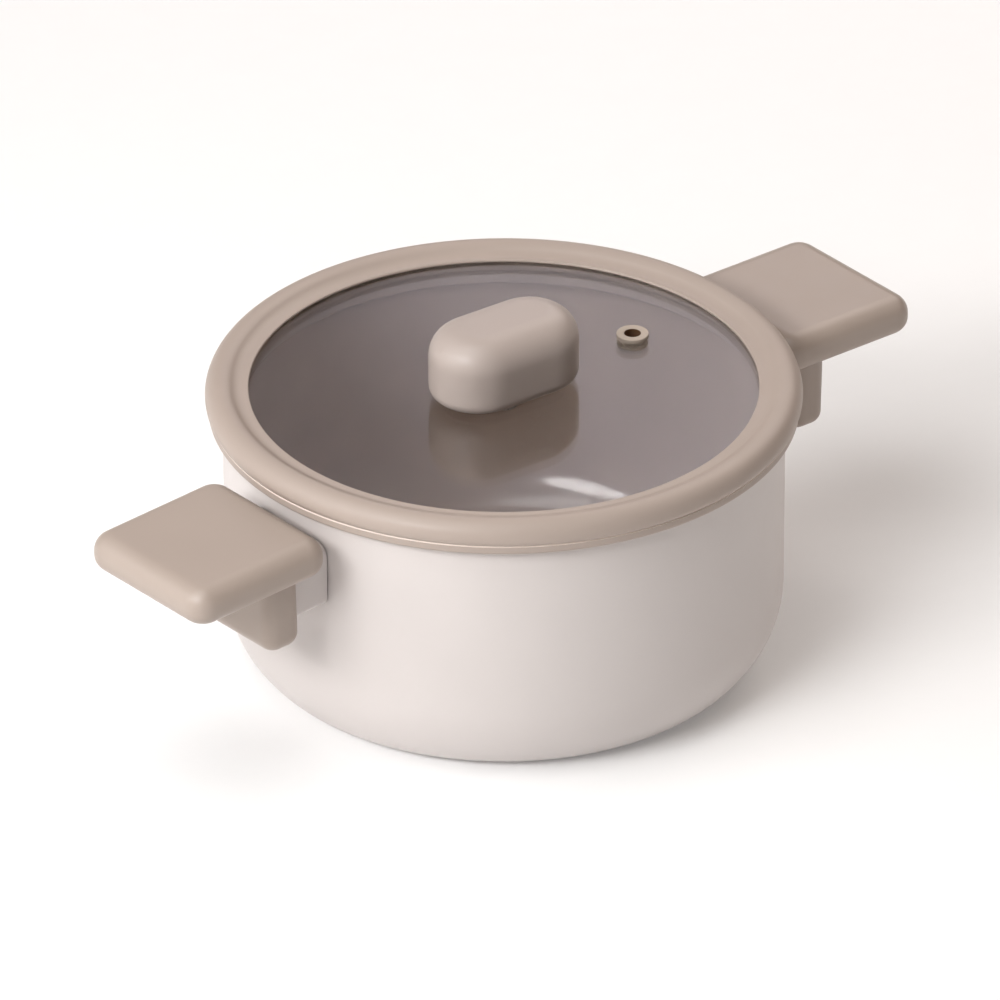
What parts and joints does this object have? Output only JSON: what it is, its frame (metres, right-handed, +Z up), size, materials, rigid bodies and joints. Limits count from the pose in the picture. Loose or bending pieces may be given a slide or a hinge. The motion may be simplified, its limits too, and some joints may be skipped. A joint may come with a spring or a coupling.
{
  "type": "lidded saucepan",
  "caption": "Low round two-handled saucepan with a flat glass lid in a soft ring, a rounded oblong knob, a steam vent and flat square side handles on short legs.",
  "frame": {"origin": "centre of the round base, on the plane the pot stands on", "axes": "+Z up along the pot axis; the two handles point along -X (left) and +X (right); +Y is away from the front"},
  "size_m": [0.3342, 0.2122, 0.1333],
  "materials": {
    "cream_coating": "satin",
    "taupe_moulding": "matt",
    "taupe_silicone": "matt",
    "dark_silicone": "matt",
    "lid_glass": "polished",
    "steel": "satin",
    "aluminium": "satin",
    "brass": "satin"
  },
  "bodies": {
    "pot": {"pot_body": "cream_coating", "base_disc": "steel", "stud_left": "aluminium", "stud_right": "aluminium", "flame_guard_left": "cream_coating", "flame_guard_right": "cream_coating", "handle_left": "taupe_moulding", "handle_right": "taupe_moulding", "handle_washer_left": "steel", "handle_washer_right": "steel", "handle_screw_left": "steel", "handle_screw_right": "steel"},
    "lid": {"lid_glass": "lid_glass", "lid_ring": "taupe_silicone", "vent_grommet": "taupe_silicone", "knob": "taupe_moulding", "knob_insert": "brass", "knob_seat": "dark_silicone", "knob_gasket": "dark_silicone", "knob_washer": "steel", "knob_screw": "steel"}
  },
  "joints": [
    {"name": "lid_lift", "type": "slide", "parent": "pot", "child": "lid", "axis": [0, 0, 1], "range_m": [0, 0.13]}
  ]
}
